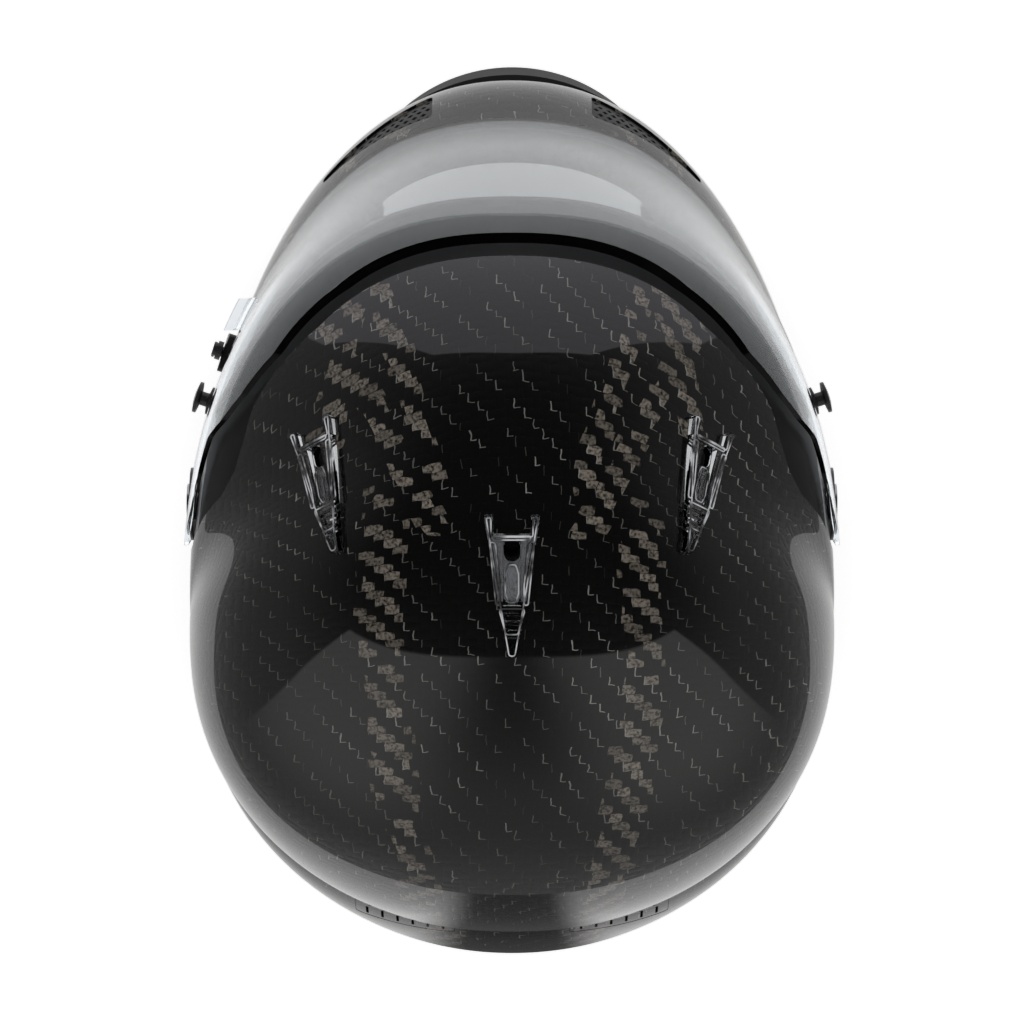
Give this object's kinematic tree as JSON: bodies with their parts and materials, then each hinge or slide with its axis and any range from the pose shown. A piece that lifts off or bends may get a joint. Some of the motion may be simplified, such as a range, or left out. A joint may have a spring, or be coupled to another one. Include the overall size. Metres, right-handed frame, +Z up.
{
  "type": "auto racing helmet",
  "caption": "Full-face auto racing helmet with carbon shell, hinged clear visor, top vents with sliders, chin vents, chin spoiler, padded interior and chin strap.",
  "frame": {"origin": "middle of the overall box's underside, under the neck opening's edge trim", "axes": "+Z up through the crown, -Y toward the helmet's front (visor and chin bar), +X toward the wearer's left"},
  "size_m": [0.2424, 0.3514, 0.2625],
  "materials": {
    "carbon_shell": "gloss clear coat over dark carbon twill",
    "clear_visor": "clear polished polycarbonate",
    "clear_vent": "clear polished plastic",
    "edge_rubber": "matt black",
    "black_plastic": "satin black",
    "spoiler_plastic": "satin dark grey",
    "black_mesh": "matt black",
    "dark_metal": "dark anodised",
    "bright_metal": "brushed",
    "foam_liner": "matt dark expanded foam",
    "padding": "brushed black knit",
    "webbing": "woven black webbing"
  },
  "bodies": {
    "helmet_shell": {"shell": "carbon_shell", "shell_edge_trim": "edge_rubber", "eyeport_gasket": "edge_rubber", "top_vent_frame_middle": "clear_vent", "top_vent_frame_left": "clear_vent", "top_vent_frame_right": "clear_vent", "latch_base": "black_plastic", "pivot_base_left": "black_plastic", "pivot_base_right": "black_plastic", "chin_spoiler": "spoiler_plastic", "chin_vent_grille_left": "black_mesh", "chin_vent_grille_right": "black_mesh", "rear_exhaust_grille_left": "black_mesh", "rear_exhaust_grille_right": "black_mesh", "pivot_washer_left": "dark_metal", "pivot_washer_right": "dark_metal", "tether_insert_left": "dark_metal", "tether_insert_right": "dark_metal", "strap_anchor_bolts": "dark_metal", "pivot_screw_left": "bright_metal", "pivot_screw_right": "bright_metal", "d_ring_lower": "bright_metal", "eps_liner": "foam_liner", "chin_liner": "foam_liner", "crown_pad": "padding", "cheek_pad_left": "padding", "cheek_pad_right": "padding", "neck_roll": "padding", "chin_strap_left": "webbing", "chin_strap_right": "webbing"},
    "visor": {"visor_shield": "clear_visor", "visor_lift_tab": "clear_visor", "tear_off_post_left": "black_plastic", "tear_off_post_right": "black_plastic"},
    "latch_lever_body": {"latch_lever": "black_plastic"},
    "vent_slider_middle": {"top_vent_slider_middle": "clear_vent"},
    "vent_slider_left": {"top_vent_slider_left": "clear_vent"},
    "vent_slider_right": {"top_vent_slider_right": "clear_vent"},
    "strap_ring": {"d_ring_upper": "bright_metal"}
  },
  "joints": [
    {"name": "visor_hinge", "type": "hinge", "parent": "helmet_shell", "child": "visor", "pos_m": [0, -0.0013, 0.1476], "axis": [-1, 0, 0], "range_deg": [0, 20]},
    {"name": "latch_lever_turn", "type": "hinge", "parent": "helmet_shell", "child": "latch_lever_body", "pos_m": [0.10695, -0.0583, 0.097], "axis": [-0.949, 0.3064, -0.0744], "range_deg": [0, 80]},
    {"name": "vent_slide_middle", "type": "slide", "parent": "helmet_shell", "child": "vent_slider_middle", "axis": [0, -0.9884, 0.1516], "range_m": [0, 0.007]},
    {"name": "vent_slide_left", "type": "slide", "parent": "helmet_shell", "child": "vent_slider_left", "axis": [0.1738, -0.8939, -0.4131], "range_m": [0, 0.007]},
    {"name": "vent_slide_right", "type": "slide", "parent": "helmet_shell", "child": "vent_slider_right", "axis": [-0.1738, -0.8939, -0.4131], "range_m": [0, 0.007]},
    {"name": "strap_ring_turn", "type": "hinge", "parent": "helmet_shell", "child": "strap_ring", "pos_m": [0.0269, -0.0203, 0.0095], "axis": [0, 1, 0], "range_deg": [0, 70]}
  ]
}
